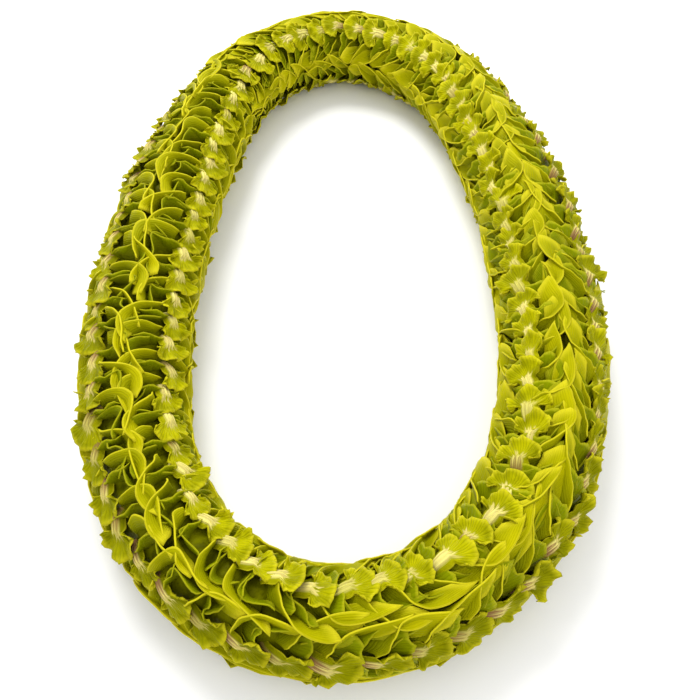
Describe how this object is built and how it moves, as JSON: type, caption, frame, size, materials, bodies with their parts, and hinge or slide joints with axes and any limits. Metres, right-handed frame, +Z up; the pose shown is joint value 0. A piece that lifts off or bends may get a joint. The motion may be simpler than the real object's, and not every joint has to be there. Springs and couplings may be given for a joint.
{
  "type": "fresh flower lei",
  "caption": "Closed oval garland of folded green orchid blossoms strung in a thick rope on one thread.",
  "frame": {"origin": "middle of the ring, on the surface that the lei lies on", "axes": "+Z up; +Y along the ring's length, away from the near side; +X to the right"},
  "size_m": [0.2589, 0.42, 0.0518],
  "materials": {
    "petals": "fresh waxy orchid petal, satin",
    "thread": "matt twisted cotton"
  },
  "bodies": {
    "root": {"flowers_01": "petals", "flowers_02": "petals", "flowers_03": "petals", "flowers_04": "petals", "flowers_05": "petals", "flowers_06": "petals", "flowers_07": "petals", "flowers_08": "petals", "flowers_09": "petals", "flowers_10": "petals", "flowers_11": "petals", "flowers_12": "petals", "flowers_13": "petals", "flowers_14": "petals", "flowers_15": "petals", "flowers_16": "petals", "flowers_17": "petals", "flowers_18": "petals", "flowers_19": "petals", "flowers_20": "petals", "flowers_21": "petals", "flowers_22": "petals", "thread": "thread"}
  },
  "joints": []
}
